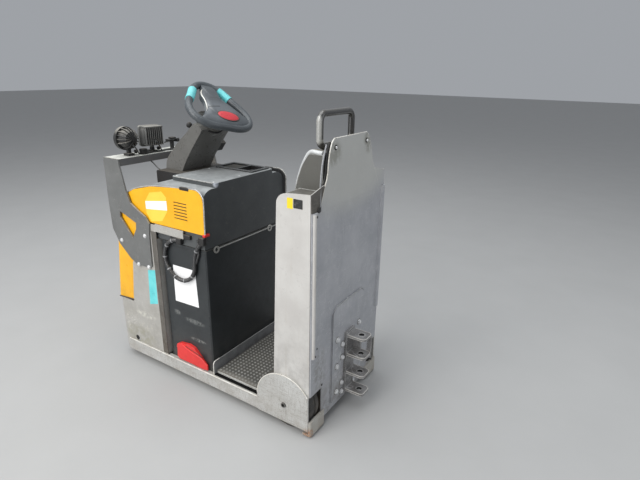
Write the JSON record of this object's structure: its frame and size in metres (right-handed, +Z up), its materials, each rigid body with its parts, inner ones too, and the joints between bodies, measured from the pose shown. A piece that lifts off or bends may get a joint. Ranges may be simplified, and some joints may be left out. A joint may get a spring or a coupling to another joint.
{
  "type": "stand-on electric tow tractor",
  "caption": "Compact three-wheel stand-on electric tug: side battery, low step, rear tower with stepped pin coupling, leaning column with triangular steering wheel.",
  "frame": {"origin": "on the ground under the middle of the tractor's bounding box", "axes": "+X forward, +Y to the driver's left, +Z up"},
  "size_m": [1.35, 0.632, 1.4301],
  "materials": {
    "chassis_paint": "satin, scuffed",
    "frame_paint": "matt, dirty",
    "rusty_steel": "scraped and rusty",
    "bolt_steel": "dull",
    "tyre_rubber": "matt, dusty",
    "hub_metal": "cast",
    "deck_rubber": "studded, dusty",
    "dark_panel": "satin",
    "rear_plate_paint": "satin, scratched",
    "black_plastic": "matt, grained",
    "handle_rubber": "matt",
    "coupling_steel": "worn",
    "battery_black": "satin, scuffed",
    "ring_grey": "matt",
    "red_plastic": "satin",
    "cable_black": "ribbed",
    "hood_charcoal": "grained",
    "yellow_plastic": "satin",
    "guard_paint": "satin, scratched",
    "lamp_black": "matt",
    "column_grey": "grained",
    "wheel_grey": "soft grip"
  },
  "bodies": {
    "chassis": {"base_frame": "frame_paint", "side_plates": "chassis_paint", "rear_skids": "rusty_steel", "wheel_housings": "chassis_paint", "rear_axles": "bolt_steel", "step_deck": "frame_paint", "rubber_mat": "deck_rubber", "kick_plate": "bolt_steel", "tower_flanks": "chassis_paint", "tower_front": "dark_panel", "back_plate": "rear_plate_paint", "backrest_shell": "black_plastic", "backrest_pad": "black_plastic", "grab_handle": "handle_rubber", "coupling_plate": "rear_plate_paint", "tow_coupling": "coupling_steel", "battery": "battery_black", "lifting_rings": "ring_grey", "battery_lock": "red_plastic", "battery_cable": "cable_black", "hood": "hood_charcoal", "storage_tray": "black_plastic", "side_covers": "yellow_plastic", "front_cover": "yellow_plastic", "front_body": "chassis_paint", "guard_plates": "guard_paint", "cross_bar": "guard_paint", "lamp_brackets": "guard_paint", "work_lamp_left": "lamp_black", "work_lamp_right": "lamp_black", "steering_plinth": "black_plastic", "steering_column": "column_grey", "switch_block": "black_plastic", "drive_mount": "frame_paint"},
    "rear_wheel_left": {"rear_tyre_left": "tyre_rubber", "rear_hub_left": "hub_metal"},
    "rear_wheel_right": {"rear_tyre_right": "tyre_rubber", "rear_hub_right": "hub_metal"},
    "steering": {"steering_rim": "wheel_grey", "steering_bridge": "wheel_grey", "horn_button": "red_plastic"},
    "drive": {"drive_unit": "frame_paint", "drive_axle": "bolt_steel"},
    "drive_wheel": {"drive_hub": "hub_metal", "drive_tyre": "tyre_rubber"}
  },
  "joints": [
    {"name": "rear_left_spin", "type": "hinge", "parent": "chassis", "child": "rear_wheel_left", "pos_m": [-0.435, 0.2535, 0.125], "axis": [0, 1, 0], "continuous": true},
    {"name": "rear_right_spin", "type": "hinge", "parent": "chassis", "child": "rear_wheel_right", "pos_m": [-0.435, -0.2535, 0.125], "axis": [0, 1, 0], "continuous": true},
    {"name": "drive_steer", "type": "hinge", "parent": "chassis", "child": "drive", "pos_m": [0.49, 0, 0.28], "axis": [0, 0, 1], "range_deg": [-90, 90]},
    {"name": "drive_spin", "type": "hinge", "parent": "drive", "child": "drive_wheel", "pos_m": [0.49, 0, 0.115], "axis": [0, 1, 0], "continuous": true},
    {"name": "steering_turn", "type": "hinge", "parent": "chassis", "child": "steering", "pos_m": [0.16428, 0, 1.31411], "axis": [-0.6157, 0, 0.788], "range_deg": [-90, 90]}
  ],
  "couplings": [
    {"joint": "steering_turn", "follows": "drive_steer", "ratio": 1}
  ]
}
